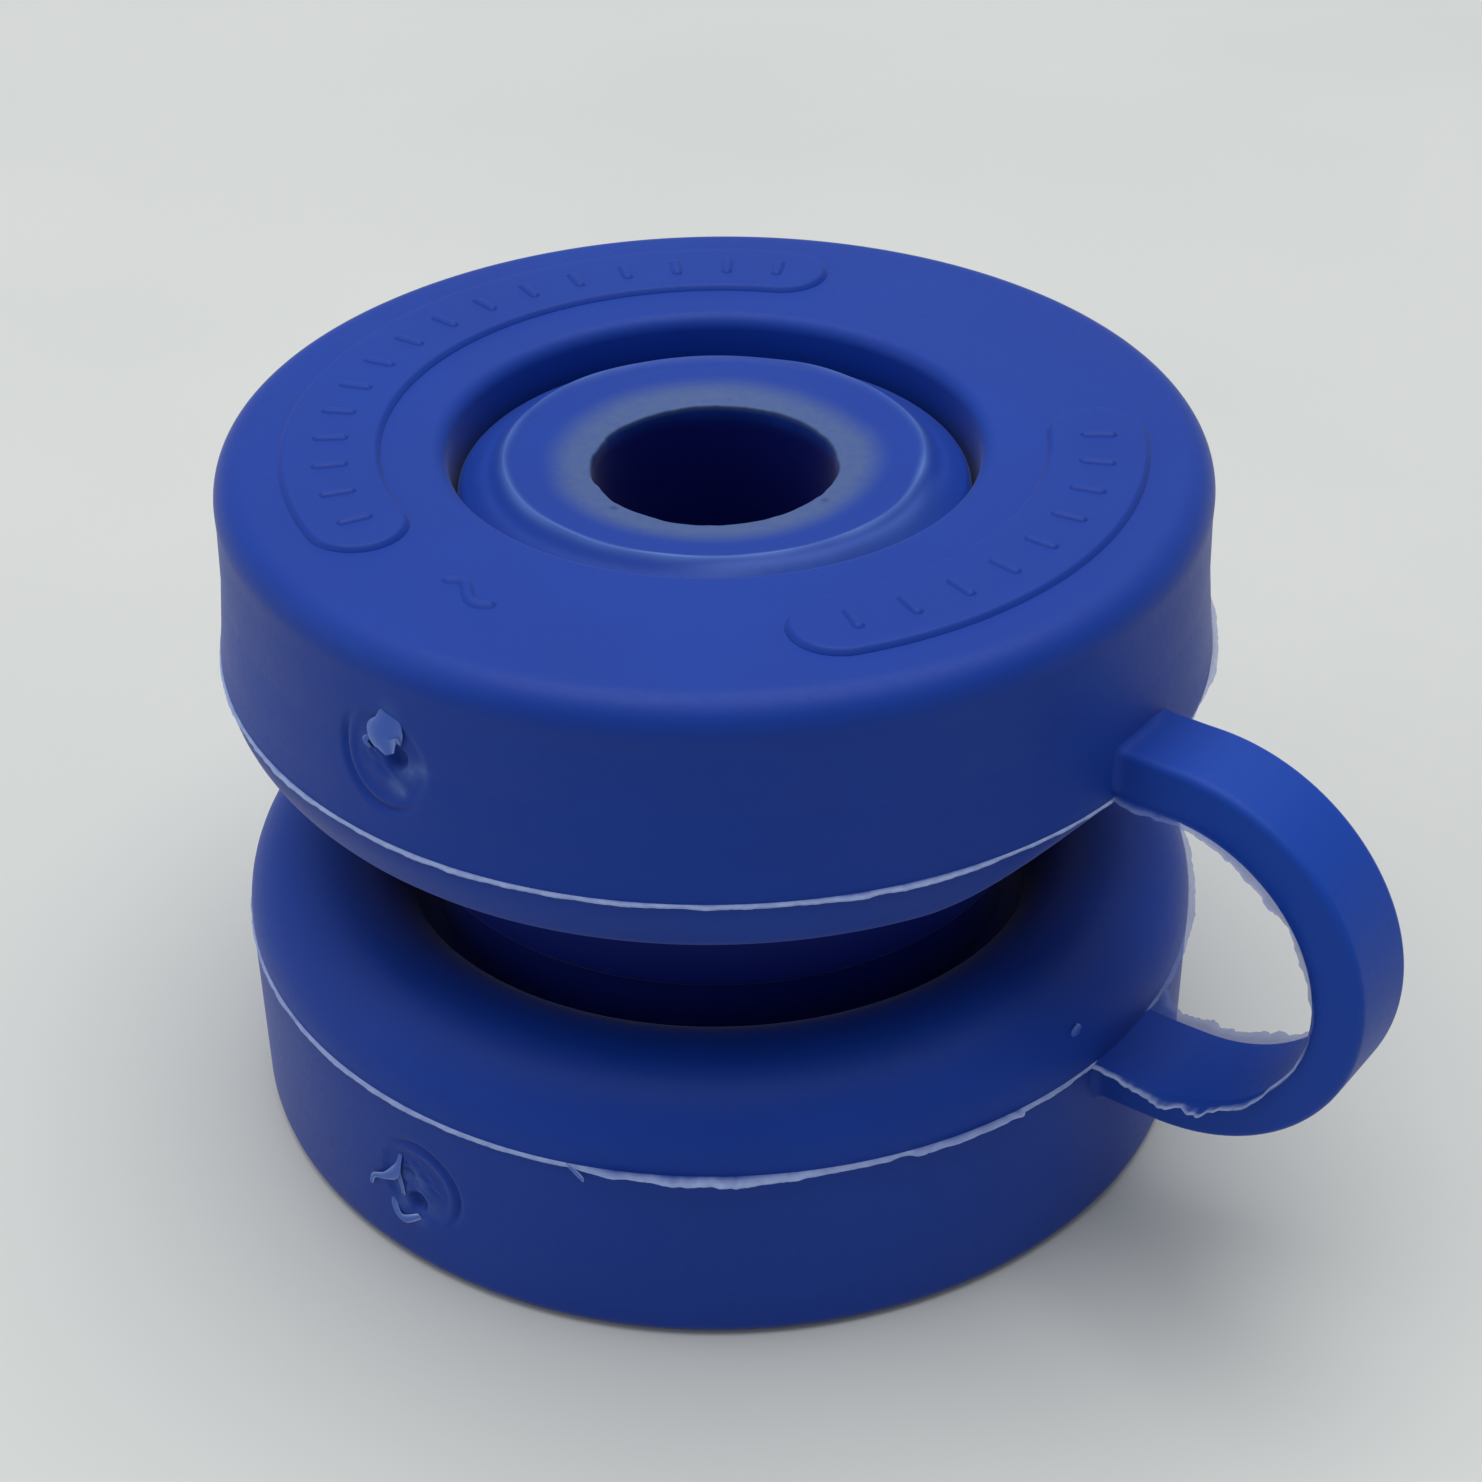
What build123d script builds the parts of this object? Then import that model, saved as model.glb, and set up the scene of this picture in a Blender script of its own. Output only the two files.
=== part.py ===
from build123d import *
import math
import os

# Two-disc snap spool with a tether loop, in millimetres.
# Origin: centre of the bore at the base. +Z: up along the bore. +X: towards the strap loop.

# Driving dimensions of the two discs
FLASH_RADIUS = 24.6
LOWER_FACE_RADIUS = 24.55
UPPER_FACE_RADIUS = 24.1
BEAD_RADIUS = 4.25
BASE_EDGE_RADIUS = 0.8
TOP_EDGE_RADIUS = 1.6
LOWER_FLASH_Z = 10.3
UPPER_FLASH_Z = 26.0
RING_TOP_Z = 35.85

# Driving dimensions of the post, its head, and the sleeve and socket that pass over them
BORE_RADIUS = 6.0
POST_RADIUS = 11.8
COLLAR_RADIUS = 14.8
COLLAR_TOP_Z = 14.5
SLEEVE_RADIUS = 15.9
SOCKET_RADIUS = 12.9
SOCKET_EDGE_RADIUS = 0.8
HEAD_RADIUS = 12.5
HEAD_RIM_RADIUS = 10.2
HEAD_BOTTOM_Z = 31.8
HEAD_SKIRT_BOTTOM_Z = 32.5
HEAD_SKIRT_TOP_Z = 33.6
HEAD_RIM_Z = 34.9
BORE_EDGE_Z = 34.3

# Driving dimensions of the strap loop
STRAP_INNER_WIDTH = 5.2
STRAP_OUTER_WIDTH = 4.4
STRAP_THICKNESS = 2.3
STRAP_EDGE_RADIUS = 0.5
STRAP_ROOT_X = 22.0
LOOP_CENTRE_X = 27.4

# Driving dimensions of the raised and sunk details
PAD_HEIGHT = 0.25
PAD_INNER_RADIUS = 16.0
PAD_OUTER_RADIUS = 20.9
STRAP_SIDE_PAD_HALF_ANGLE = 43.5
FAR_SIDE_PAD_HALF_ANGLE = 72.0
MARK_RADIUS = 18.1
MARK_WIDTH = 0.6
MARK_HALF_ANGLE = 4.5
GATE_DIMPLE_RADIUS = 2.4
LOWER_GATE_FLOOR = 24.2
UPPER_GATE_FLOOR = 23.95
GATE_STUB_RADIUS = 0.8
GATE_STUB_HEIGHT = 0.35
LOWER_GATE_Z = 5.5
UPPER_GATE_Z = 30.3

# Places worked out from the driving dimensions
BEAD_CENTRE_RADIUS = FLASH_RADIUS - BEAD_RADIUS
LOOP_CENTRE_Z = (LOWER_FLASH_Z + UPPER_FLASH_Z) / 2
LOOP_INNER_RADIUS = (UPPER_FLASH_Z - LOWER_FLASH_Z) / 2
LOOP_OUTER_RADIUS = LOOP_INNER_RADIUS + STRAP_THICKNESS


def tube(inner_radius, outer_radius, bottom_z, top_z):
    """A plain ring or tube about the Z axis."""
    section = Circle(outer_radius) - Circle(inner_radius)
    return Pos(0, 0, bottom_z) * extrude(section, top_z - bottom_z)


def disc(hole_radius, flash_z, outer_face_radius, outer_face_z):
    """A thick disc with a drafted wall and a half-round bead beyond its flash line.

    The outer face is the one away from the other disc. Inside the bead the disc is flat.
    """
    inward = 1 if flash_z > outer_face_z else -1
    bead_crest_z = flash_z + inward * BEAD_RADIUS
    hole_inner = Vector(hole_radius, 0, flash_z)
    hole_outer = Vector(hole_radius, 0, outer_face_z)
    outer_corner = Vector(outer_face_radius, 0, outer_face_z)
    flash = Vector(FLASH_RADIUS, 0, flash_z)
    bead_crest = Vector(BEAD_CENTRE_RADIUS, 0, bead_crest_z)
    bead_foot = Vector(BEAD_CENTRE_RADIUS - BEAD_RADIUS, 0, flash_z)
    outline = Wire([
        Edge.make_line(hole_inner, hole_outer),
        Edge.make_line(hole_outer, outer_corner),
        Edge.make_line(outer_corner, flash),
        Edge.make_three_point_arc(flash, bead_crest, bead_foot),
        Edge.make_line(bead_foot, hole_inner),
    ])
    return revolve(make_face(outline), Axis.Z)


def circle_edges(solid, radius, height_z):
    """The solid's full circles of one radius at one height."""
    circles = solid.edges().filter_by(GeomType.CIRCLE)
    return [edge for edge in circles
            if abs(edge.radius - radius) < 0.01 and abs(edge.arc_center.Z - height_z) < 0.01]


def gate_cylinder(radius, height, floor_radius, gate_z):
    """A cylinder that stands out along -Y from the floor of a gate dimple."""
    centre_y = -(floor_radius + height / 2)
    return Location((0, centre_y, gate_z), (90, 0, 0)) * Cylinder(radius, height)


def with_gate_dimple(solid, floor_radius, gate_z):
    """The disc with a shallow round dimple in its -Y wall."""
    past_the_wall = 4.0
    return solid - gate_cylinder(GATE_DIMPLE_RADIUS, past_the_wall, floor_radius, gate_z)


def snap_head():
    """The mushroom head: an undercut skirt, a lead-in cone and a slightly dished top."""
    outline = Polyline([
        (BORE_RADIUS, 0, HEAD_BOTTOM_Z),
        (POST_RADIUS, 0, HEAD_BOTTOM_Z),
        (HEAD_RADIUS, 0, HEAD_SKIRT_BOTTOM_Z),
        (HEAD_RADIUS, 0, HEAD_SKIRT_TOP_Z),
        (HEAD_RIM_RADIUS, 0, HEAD_RIM_Z),
        (BORE_RADIUS, 0, BORE_EDGE_Z),
    ], close=True)
    return revolve(make_face(outline), Axis.Z)


def strap_half(upward, neighbour):
    """Half of the tether loop, cut back to the wall of the disc that it grows from.

    upward is 1 for the half on the upper ring and -1 for the half on the lower disc.
    """
    section = make_face(Polyline([
        (LOOP_CENTRE_X, -STRAP_INNER_WIDTH / 2, LOOP_CENTRE_Z + LOOP_INNER_RADIUS),
        (LOOP_CENTRE_X, STRAP_INNER_WIDTH / 2, LOOP_CENTRE_Z + LOOP_INNER_RADIUS),
        (LOOP_CENTRE_X, STRAP_OUTER_WIDTH / 2, LOOP_CENTRE_Z + LOOP_OUTER_RADIUS),
        (LOOP_CENTRE_X, -STRAP_OUTER_WIDTH / 2, LOOP_CENTRE_Z + LOOP_OUTER_RADIUS),
    ], close=True))
    loop_axis = Axis((LOOP_CENTRE_X, 0, LOOP_CENTRE_Z), (0, 1, 0))
    bend = revolve(section, loop_axis, revolution_arc=90)
    run = extrude(section, LOOP_CENTRE_X - STRAP_ROOT_X, dir=(-1, 0, 0))
    strap = bend + run
    outer_edges = [edge for edge in strap.edges()
                   if abs(abs(edge.center().Y) - STRAP_OUTER_WIDTH / 2) < 0.01 and edge.length > 1]
    strap = fillet(outer_edges, STRAP_EDGE_RADIUS)
    if upward < 0:
        strap = mirror(strap, Plane.XY.offset(LOOP_CENTRE_Z))
    return strap - neighbour


def arc_slot(inner_radius, outer_radius, centre_angle, half_angle):
    """A low solid on the ring's top face that follows an arc about the Z axis, with round ends."""
    middle_radius = (inner_radius + outer_radius) / 2
    end_radius = (outer_radius - inner_radius) / 2
    end_sweep = math.degrees(end_radius / middle_radius)
    first_angle = centre_angle - half_angle + end_sweep
    middle_line = CenterArc((0, 0), middle_radius, first_angle, 2 * (half_angle - end_sweep))
    return Pos(0, 0, RING_TOP_Z) * extrude(SlotArc(middle_line, 2 * end_radius), PAD_HEIGHT)


lower_disc = disc(POST_RADIUS, LOWER_FLASH_Z, LOWER_FACE_RADIUS, 0)
lower_disc = fillet(circle_edges(lower_disc, LOWER_FACE_RADIUS, 0), BASE_EDGE_RADIUS)
lower_disc = with_gate_dimple(lower_disc, LOWER_GATE_FLOOR, LOWER_GATE_Z)

upper_ring = disc(SOCKET_RADIUS, UPPER_FLASH_Z, UPPER_FACE_RADIUS, RING_TOP_Z)
upper_ring = fillet(circle_edges(upper_ring, UPPER_FACE_RADIUS, RING_TOP_Z), TOP_EDGE_RADIUS)
upper_ring = fillet(circle_edges(upper_ring, SOCKET_RADIUS, RING_TOP_Z), SOCKET_EDGE_RADIUS)
upper_ring = with_gate_dimple(upper_ring, UPPER_GATE_FLOOR, UPPER_GATE_Z)

mark_inner_radius = MARK_RADIUS - MARK_WIDTH / 2
mark_outer_radius = MARK_RADIUS + MARK_WIDTH / 2

nodes = {
    "lower_disc": lower_disc,
    "centre_post": tube(BORE_RADIUS, POST_RADIUS, 0, HEAD_BOTTOM_Z),
    "neck_collar": tube(POST_RADIUS, COLLAR_RADIUS, LOWER_FLASH_Z, COLLAR_TOP_Z),
    "snap_head": snap_head(),
    "strap_lower_half": strap_half(-1, lower_disc),
    "lower_gate_stub": gate_cylinder(GATE_STUB_RADIUS, GATE_STUB_HEIGHT, LOWER_GATE_FLOOR, LOWER_GATE_Z),
    "upper_ring": upper_ring,
    "socket_sleeve": tube(SOCKET_RADIUS, SLEEVE_RADIUS, COLLAR_TOP_Z, UPPER_FLASH_Z),
    "strap_upper_half": strap_half(1, upper_ring),
    "strap_side_label_pad": arc_slot(PAD_INNER_RADIUS, PAD_OUTER_RADIUS, 0,
                                     STRAP_SIDE_PAD_HALF_ANGLE),
    "far_side_label_pad": arc_slot(PAD_INNER_RADIUS, PAD_OUTER_RADIUS, 180,
                                   FAR_SIDE_PAD_HALF_ANGLE),
    "index_mark": arc_slot(mark_inner_radius, mark_outer_radius, -90, MARK_HALF_ANGLE),
    "upper_gate_stub": gate_cylinder(GATE_STUB_RADIUS, GATE_STUB_HEIGHT, UPPER_GATE_FLOOR, UPPER_GATE_Z),
}

os.makedirs("parts", exist_ok=True)
for name, solid in nodes.items():
    export_step(solid, f"parts/{name}.step")
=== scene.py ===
import math

import bpy
import numpy as np
from mathutils import Matrix, Vector


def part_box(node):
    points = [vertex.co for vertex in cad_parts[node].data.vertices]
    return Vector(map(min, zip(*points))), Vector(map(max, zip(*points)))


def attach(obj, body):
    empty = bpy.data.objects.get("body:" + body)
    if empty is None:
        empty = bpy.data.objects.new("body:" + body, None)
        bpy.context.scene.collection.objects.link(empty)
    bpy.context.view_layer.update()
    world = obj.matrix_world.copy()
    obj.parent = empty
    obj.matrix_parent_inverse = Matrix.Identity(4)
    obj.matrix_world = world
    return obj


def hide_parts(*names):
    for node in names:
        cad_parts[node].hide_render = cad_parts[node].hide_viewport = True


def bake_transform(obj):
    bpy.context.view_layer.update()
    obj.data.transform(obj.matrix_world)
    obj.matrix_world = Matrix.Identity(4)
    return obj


# The looks of a soft moulded snap spool, built around its CAD frame.
# Lengths are in millimetres until a mesh is made. Angles about the axis are in degrees,
# anticlockwise from +X, where the strap loop is.

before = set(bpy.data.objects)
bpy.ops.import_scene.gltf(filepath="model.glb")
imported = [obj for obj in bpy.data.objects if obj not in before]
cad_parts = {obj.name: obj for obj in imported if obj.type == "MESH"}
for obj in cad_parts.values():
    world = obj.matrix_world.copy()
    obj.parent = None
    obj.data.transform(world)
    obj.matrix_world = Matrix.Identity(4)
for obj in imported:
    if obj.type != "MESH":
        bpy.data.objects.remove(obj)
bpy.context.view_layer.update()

MM = 0.001


# ---------------------------------------------------------------- sizes from the frame

def low_corner(node):
    """The lowest corner of a CAD node, in millimetres."""
    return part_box(node)[0] / MM


def high_corner(node):
    """The highest corner of a CAD node, in millimetres."""
    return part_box(node)[1] / MM


def middle_z(node):
    """The height of the middle of a CAD node, in millimetres."""
    return (low_corner(node).z + high_corner(node).z) / 2


FLASH_RADIUS = high_corner("lower_disc").x
LOWER_CREST_Z = high_corner("lower_disc").z
LOWER_FLASH_Z = low_corner("neck_collar").z
UPPER_FLASH_Z = high_corner("socket_sleeve").z
UPPER_CREST_Z = low_corner("upper_ring").z
RING_TOP_Z = high_corner("upper_ring").z
POST_RADIUS = high_corner("centre_post").x
COLLAR_RADIUS = high_corner("neck_collar").x
COLLAR_TOP_Z = high_corner("neck_collar").z
SLEEVE_RADIUS = high_corner("socket_sleeve").x
HEAD_RADIUS = high_corner("snap_head").x
HEAD_BOTTOM_Z = low_corner("snap_head").z
HEAD_RIM_Z = high_corner("snap_head").z
PAD_OUTER_RADIUS = high_corner("strap_side_label_pad").x
PAD_HEIGHT = high_corner("strap_side_label_pad").z - RING_TOP_Z
STRAP_HALF_WIDTH = high_corner("strap_upper_half").y
STRAP_THICKNESS = high_corner("strap_upper_half").z - UPPER_FLASH_Z
LOWER_GATE_Z = middle_z("lower_gate_stub")
UPPER_GATE_Z = middle_z("upper_gate_stub")

# The CAD sizes that no corner of a node gives.
BORE_RADIUS = 6.0
SOCKET_RADIUS = 12.9
LOWER_FACE_RADIUS = 24.55
UPPER_FACE_RADIUS = 24.1
HEAD_RIM_RADIUS = 10.2
HEAD_SKIRT_TOP_Z = 33.6
BORE_EDGE_Z = 34.3

BEAD_RADIUS = LOWER_CREST_Z - LOWER_FLASH_Z
BEAD_FOOT_RADIUS = FLASH_RADIUS - 2 * BEAD_RADIUS
LOOP_INNER_RADIUS = (UPPER_FLASH_Z - LOWER_FLASH_Z) / 2
LOOP_CENTRE_Z = (UPPER_FLASH_Z + LOWER_FLASH_Z) / 2
LOOP_CENTRE_X = high_corner("strap_upper_half").x - LOOP_INNER_RADIUS - STRAP_THICKNESS

GATE_ANGLE = -90.0
GATE_RADIUS = 2.5


# ---------------------------------------------------------------- small maths helpers

def smooth_step(value, start, end):
    """0 before start, 1 after end, and a smooth rise between them."""
    share = np.clip((value - start) / (end - start), 0, 1)
    return share * share * (3 - 2 * share)


def bump(value, centre, width):
    """A smooth bump of height 1 at centre."""
    return np.exp(-((value - centre) / width) ** 2)


def angle_between(first, second):
    """The unsigned angle between two directions, in degrees."""
    return np.abs((first - second + 180) % 360 - 180)


WANDER_COUNT = 997


def wander(position, step, seed):
    """Smooth random values from -1 to 1 along a line, with a new value after each step."""
    values = np.random.default_rng(seed).uniform(-1, 1, WANDER_COUNT)
    place = np.asarray(position, float) / step
    left = np.floor(place).astype(int)
    share = smooth_step(place - left, 0, 1)
    before = values[left % WANDER_COUNT]
    after = values[(left + 1) % WANDER_COUNT]
    return before * (1 - share) + after * share


def ragged(position, seed):
    """A torn edge: coarse, middling and fine random values together, from 0 to 1."""
    coarse = wander(position, 3.1, seed)
    middling = wander(position, 1.1, seed + 1)
    fine = wander(position, 0.37, seed + 2)
    return np.clip(0.5 + 0.28 * coarse + 0.24 * middling + 0.16 * fine, 0, 1)


# ---------------------------------------------------------------- shapes as (points, faces)

ARC_STEP = 6.0
FEWEST_ARC_STEPS = 4
SHARP_ANGLE = 38.0


def corner_arc(before, corner, after, radius):
    """The points that round one corner of an outline."""
    if radius == 0:
        return [corner]
    back = (before - corner) / np.linalg.norm(before - corner)
    ahead = (after - corner) / np.linalg.norm(after - corner)
    half_angle = math.acos(np.clip(back @ ahead, -1, 1)) / 2
    reach = radius / math.tan(half_angle)
    towards_centre = (back + ahead) / np.linalg.norm(back + ahead)
    centre = corner + towards_centre * radius / math.sin(half_angle)
    first = corner + back * reach - centre
    last = corner + ahead * reach - centre
    turn = math.pi - 2 * half_angle
    steps = max(FEWEST_ARC_STEPS, math.ceil(math.degrees(turn) / ARC_STEP))
    shares = np.linspace(0, 1, steps + 1)
    first_weights = np.sin((1 - shares) * turn) / math.sin(turn)
    last_weights = np.sin(shares * turn) / math.sin(turn)
    return [centre + first * a + last * b for a, b in zip(first_weights, last_weights)]


def outline(corners, coarse, fine=None, is_fine=None):
    """A closed outline through corners given as (across, up, rounding).

    Straight runs are divided every coarse millimetres, or every fine where is_fine says so.
    """
    places = [np.array(corner[:2], float) for corner in corners]
    rounded = []
    for index, corner in enumerate(corners):
        after = places[(index + 1) % len(corners)]
        rounded += corner_arc(places[index - 1], places[index], after, corner[2])
    points = []
    for here, there in zip(rounded, rounded[1:] + rounded[:1]):
        length = np.linalg.norm(there - here)
        if length < 1e-6:
            continue
        step = fine if is_fine and is_fine((here + there) / 2) else coarse
        shares = np.arange(math.ceil(length / step)) / math.ceil(length / step)
        points += [here + (there - here) * share for share in shares]
    return np.array(points)


def grid(points, closed_rows, closed_columns, capped=False):
    """A surface over a grid of points. A capped grid is a tube with a fan at each end."""
    rows, columns = points.shape[:2]
    index = np.arange(rows * columns).reshape(rows, columns)
    if closed_rows:
        index = np.vstack([index, index[:1]])
    if closed_columns:
        index = np.hstack([index, index[:, :1]])
    faces = np.stack([index[:-1, :-1], index[1:, :-1], index[1:, 1:], index[:-1, 1:]], -1)
    flat = points.reshape(-1, 3)
    faces = faces.reshape(-1, 4).tolist()
    if capped:
        flat = np.vstack([flat, points[0].mean(0), points[-1].mean(0)])
        for ring, middle, order in ((index[0], len(flat) - 2, 1), (index[-1], len(flat) - 1, -1)):
            for a, b in zip(ring[:-1], ring[1:]):
                faces.append([int(a), int(b), middle][::order])
    return flat, faces


def joined(shapes):
    """Several shapes as one."""
    points, faces, count = [], [], 0
    for shape_points, shape_faces in shapes:
        points.append(shape_points)
        faces += [[index + count for index in face] for face in shape_faces]
        count += len(shape_points)
    return np.vstack(points), faces


def volume_sign(points, faces):
    """Which way the faces of a closed shape look: 1 outwards, -1 inwards."""
    triangles = [face[:3] for face in faces]
    triangles += [[face[0], face[2], face[3]] for face in faces if len(face) == 4]
    corners = points[np.array(triangles)]
    six_volumes = np.einsum("ij,ij->i", corners[:, 0], np.cross(corners[:, 1], corners[:, 2]))
    return 1 if six_volumes.sum() > 0 else -1


def piece(name, shape, material, values=None):
    """A mesh object from a closed shape, with per-point values for its material to read.

    It is shaded smooth, apart from edges sharper than SHARP_ANGLE.
    """
    points, faces = shape
    if volume_sign(points, faces) < 0:
        faces = [face[::-1] for face in faces]
    mesh = bpy.data.meshes.new(name)
    mesh.from_pydata((points * MM).tolist(), [], faces)
    mesh.shade_smooth()
    mesh.set_sharp_from_angle(angle=math.radians(SHARP_ANGLE))
    mesh.materials.append(material)
    for attribute_name, numbers in (values or {}).items():
        attribute = mesh.attributes.new(attribute_name, "FLOAT", "POINT")
        attribute.data.foreach_set("value", np.asarray(numbers, np.float32).ravel())
    made = bpy.data.objects.new(name, mesh)
    bpy.context.scene.collection.objects.link(made)
    return made


# ---------------------------------------------------------------- materials

def node(tree, kind, **settings):
    """A shader node. A setting is an input's value, or a property's if it starts with set_."""
    made = tree.nodes.new(kind)
    for name, value in settings.items():
        if name.startswith("set_"):
            setattr(made, name.removeprefix("set_"), value)
        else:
            made.inputs[name.replace("_", " ")].default_value = value
    return made


def blank_material(name):
    """A new material with a lone Principled shader, and its node tree."""
    material = bpy.data.materials.new(name)
    material.use_nodes = True
    return material, material.node_tree, material.node_tree.nodes["Principled BSDF"]


def noise(tree, vector, scale, detail=3.0, roughness=0.5):
    """The output of a noise texture on a vector."""
    texture = node(tree, "ShaderNodeTexNoise", Scale=scale, Detail=detail, Roughness=roughness)
    tree.links.new(vector, texture.inputs["Vector"])
    return texture.outputs["Fac"]


def ranged(tree, value, low, high, new_low, new_high):
    """A value moved from one range to another, and kept inside it."""
    span_from = {"From_Min": low, "From_Max": high}
    span_to = {"To_Min": new_low, "To_Max": new_high}
    made = node(tree, "ShaderNodeMapRange", **span_from, **span_to)
    tree.links.new(value, made.inputs["Value"])
    return made.outputs["Result"]


def feed(tree, socket, value):
    """Gives a socket another node's output, or a plain value."""
    if isinstance(value, bpy.types.NodeSocket):
        tree.links.new(value, socket)
    else:
        socket.default_value = value


def mixed(tree, share, first, second):
    """Two colours mixed. A colour is a tuple or an output."""
    made = node(tree, "ShaderNodeMix", set_data_type="RGBA")
    for number, value in ((0, share), (6, first), (7, second)):
        feed(tree, made.inputs[number], value)
    return made.outputs[2]


def maths(tree, operation, first, second):
    """Arithmetic on outputs or plain numbers."""
    made = node(tree, "ShaderNodeMath", set_operation=operation)
    for number, value in enumerate((first, second)):
        feed(tree, made.inputs[number], value)
    return made.outputs[0]


def attribute(tree, name):
    """A per-point value of the mesh."""
    return node(tree, "ShaderNodeAttribute", set_attribute_name=name).outputs["Fac"]


def moulded_blue():
    """Satin moulded plastic: fine grain, faint flow marks and streaks.

    Four per-point values change it: painted light that lifts the strap towards a lighter blue, whiten
    where it is chalky, pale along torn or fine edges, and painted shade deep in a hole or the waist,
    which also paints a few dark specks on the head.
    """
    material, tree, shader = blank_material("moulded_blue")
    place = node(tree, "ShaderNodeTexCoord").outputs["Object"]
    flow = noise(tree, place, 90.0, 4.0)
    grain = noise(tree, place, 2600.0, 2.0)
    streak_place = node(tree, "ShaderNodeMapping")
    streak_place.inputs["Scale"].default_value = (25.0, 25.0, 1400.0)
    tree.links.new(place, streak_place.inputs["Vector"])
    streaks = noise(tree, streak_place.outputs["Vector"], 1.0, 3.0)

    deep = (0.0015, 0.030, 0.262, 1)
    full = (0.0020, 0.039, 0.310, 1)
    # Painted light: the lighter blue the strap is lifted towards.
    painted_lit_blue = (0.0020, 0.048, 0.360, 1)
    chalky = (0.062, 0.105, 0.245, 1)
    lit_edge = (0.110, 0.210, 0.540, 1)
    # Painted shade: near-black navy deep in the waist and the bore, also used for dark specks on the head.
    unlit = (0.0001, 0.0012, 0.110, 1)
    colour = mixed(tree, ranged(tree, flow, 0.35, 0.65, 0.25, 0.75), deep, full)
    colour = mixed(tree, ranged(tree, streaks, 0.4, 0.7, 0.0, 0.16), colour, deep)
    colour = mixed(tree, ranged(tree, grain, 0.3, 0.7, 0.0, 0.12), colour, full)
    # Painted light on the strap, lifting it towards a lighter blue.
    colour = mixed(tree, maths(tree, "MULTIPLY", attribute(tree, "painted_light"), 0.75), colour, painted_lit_blue)
    grainy = ranged(tree, grain, 0.25, 0.6, 0.75, 1.0)
    bloom = maths(tree, "MULTIPLY", attribute(tree, "whiten"), grainy)
    colour = mixed(tree, bloom, colour, chalky)
    colour = mixed(tree, attribute(tree, "pale"), colour, lit_edge)
    # Painted shade deep in holes and the waist, and the head's dark specks.
    colour = mixed(tree, attribute(tree, "painted_shade_and_specks"), colour, unlit)
    tree.links.new(colour, shader.inputs["Base Color"])

    broad_gloss = ranged(tree, flow, 0.3, 0.7, 0.50, 0.58)
    fine_gloss = ranged(tree, grain, 0.3, 0.7, -0.03, 0.03)
    tree.links.new(maths(tree, "ADD", broad_gloss, fine_gloss), shader.inputs["Roughness"])

    grain_relief = maths(tree, "MULTIPLY", grain, 0.6)
    streak_relief = maths(tree, "MULTIPLY", streaks, 0.5)
    relief = maths(tree, "ADD", grain_relief, streak_relief)
    raised = node(tree, "ShaderNodeBump", Strength=0.25, Distance=0.00003)
    tree.links.new(relief, raised.inputs["Height"])
    tree.links.new(raised.outputs["Normal"], shader.inputs["Normal"])
    shader.inputs["IOR"].default_value = 1.5
    shader.inputs["Specular IOR Level"].default_value = 0.22
    shader.inputs["Sheen Weight"].default_value = 0.10
    shader.inputs["Sheen Roughness"].default_value = 0.35
    return material


def torn_film(name, thick, thin):
    """Thin torn plastic, coloured from thick where it is stout to thin at its torn edge.

    Two per-point values change it: thin towards the torn edge, and clear where it is see-through.
    """
    material, tree, shader = blank_material(name)
    place = node(tree, "ShaderNodeTexCoord").outputs["Object"]
    mottle = noise(tree, place, 1500.0, 3.0)
    mottling = ranged(tree, mottle, 0.3, 0.7, 0.7, 1.0)
    share = maths(tree, "MULTIPLY", attribute(tree, "thin"), mottling)
    tree.links.new(mixed(tree, share, thick, thin), shader.inputs["Base Color"])
    tree.links.new(ranged(tree, mottle, 0.3, 0.7, 0.45, 0.6), shader.inputs["Roughness"])
    shader.inputs["Specular IOR Level"].default_value = 0.3
    opacity = ranged(tree, attribute(tree, "clear"), 0.0, 1.0, 0.80, 0.30)
    tree.links.new(opacity, shader.inputs["Alpha"])
    return material


BLUE = moulded_blue()
FLASH = torn_film("thin_flash", (0.006, 0.055, 0.370, 1), (0.400, 0.500, 0.800, 1))
SLIVER = torn_film("torn_sliver", (0.018, 0.085, 0.500, 1), (0.520, 0.690, 1.000, 1))


# ---------------------------------------------------------------- the two discs

UPPER_WALL_HOLLOW = 0.25
WALL_BAND = 1.2
GATE_REACH = 3.0
GATE_SWEEP = 9.0
SECTION_STEP = 0.7
GATE_STEP = 0.11
BEAD_FADE = 0.9
# How strong the painted shade is deep in the waist and in the bore.
WAIST_SHADE = 0.75
BORE_SHADE = 0.9


def fine_angles():
    """Angles round the axis, closer together at the gate marks."""
    plain = np.arange(0.0, 360.0, 1.0) - 180
    plain = plain[np.abs(plain - GATE_ANGLE) > GATE_SWEEP]
    close = GATE_ANGLE + np.arange(-GATE_SWEEP, GATE_SWEEP + 0.01, 0.25)
    return np.sort(np.concatenate([plain, close]))


def turned(section, angles, shape=None):
    """An outline of (radius, height) points turned about the Z axis.

    shape may change the radius and height of each point, given its angle.
    """
    angle = np.repeat(angles[:, None], len(section), 1)
    radius = np.repeat(section[None, :, 0], len(angles), 0)
    height = np.repeat(section[None, :, 1], len(angles), 0)
    if shape:
        radius, height = shape(angle, radius, height)
    turn = np.radians(angle)
    points = np.stack([radius * np.cos(turn), radius * np.sin(turn), height], -1)
    return grid(points, True, True)


def wall_radius(z, flash_z, face_z):
    """The radius of a disc's drafted wall at a height. The upper one is a little hollow."""
    share = (z - flash_z) / (face_z - flash_z)
    if face_z < flash_z:
        return FLASH_RADIUS + share * (LOWER_FACE_RADIUS - FLASH_RADIUS)
    hollow = UPPER_WALL_HOLLOW * 4 * share * (1 - share)
    return FLASH_RADIUS + share * (UPPER_FACE_RADIUS - FLASH_RADIUS) - hollow


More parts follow.
